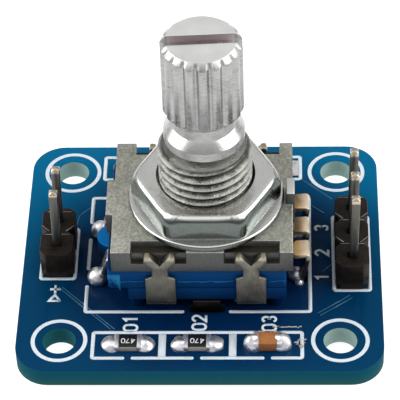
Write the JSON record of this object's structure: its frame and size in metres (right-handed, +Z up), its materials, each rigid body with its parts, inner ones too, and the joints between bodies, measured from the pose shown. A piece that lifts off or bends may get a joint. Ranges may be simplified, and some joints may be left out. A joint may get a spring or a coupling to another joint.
{
  "type": "rotary encoder module",
  "caption": "Push-switch rotary encoder with a knurled, slotted shaft and threaded bushing, soldered to a small blue circuit board with pin headers.",
  "frame": {"origin": "centre of the board's four mounting holes, on the board's underside", "axes": "+X towards the three-pin header, +Y to the board's back edge, +Z up along the encoder's shaft"},
  "size_m": [0.0274, 0.024, 0.0249],
  "materials": {
    "solder_mask": "glossy blue solder mask over glass-fibre board",
    "die_cast_zinc": "matt cast, bright edges",
    "nickel_plate": "bright nickel plate",
    "turned_aluminium": "satin turned",
    "spring_steel": "bright",
    "strap_steel": "dull plated",
    "contact_brass": "bright",
    "tinned_brass": "tinned",
    "header_pin_plate": "plated",
    "rotor_plastic": "moulded",
    "blue_plastic": "semi-gloss moulded",
    "header_plastic": "matt black",
    "resistor_coat": "glassy black",
    "capacitor_ceramic": "matt brown",
    "solder": "bright solder"
  },
  "bodies": {
    "base": {"circuit_board": "solder_mask", "bushing_plate": "die_cast_zinc", "mounting_washer": "nickel_plate", "mounting_nut": "nickel_plate", "detent_spring": "spring_steel", "terminal_a": "contact_brass", "terminal_b": "contact_brass", "terminal_common": "contact_brass", "switch_terminal_back": "tinned_brass", "switch_terminal_front": "tinned_brass", "contact_housing": "blue_plastic", "switch_base": "blue_plastic", "switch_dome": "spring_steel", "steel_strap": "strap_steel", "power_header_body": "header_plastic", "signal_header_body": "header_plastic", "power_header_pins": "header_pin_plate", "signal_header_pins": "header_pin_plate", "front_resistor_left": "resistor_coat", "front_resistor_middle": "resistor_coat", "front_capacitor": "capacitor_ceramic", "back_resistor_left": "resistor_coat", "back_resistor_middle": "resistor_coat", "back_capacitor": "capacitor_ceramic", "chip_solder": "solder", "terminal_solder": "solder", "underside_solder": "solder"},
    "rotor": {"rotor": "rotor_plastic", "code_ring": "contact_brass"},
    "shaft": {"shaft": "turned_aluminium", "shaft_clip": "spring_steel"},
    "plunger": {"switch_plunger": "rotor_plastic"}
  },
  "joints": [
    {"name": "shaft_turn", "type": "hinge", "parent": "base", "child": "rotor", "pos_m": [0.0005, -0.0001, 0.005], "axis": [0, 0, 1], "continuous": true, "deforming": ["detent_spring"]},
    {"name": "shaft_push", "type": "slide", "parent": "rotor", "child": "shaft", "axis": [0, 0, -1], "range_m": [0, 0.0005], "stiffness_N_per_m": 6000, "springref_m": -0.0003},
    {"name": "plunger_push", "type": "slide", "parent": "base", "child": "plunger", "axis": [0, 0, -1], "range_m": [0, 0.0005], "deforming": ["switch_dome"]}
  ],
  "couplings": [
    {"joint": "plunger_push", "follows": "shaft_push", "ratio": 1}
  ]
}
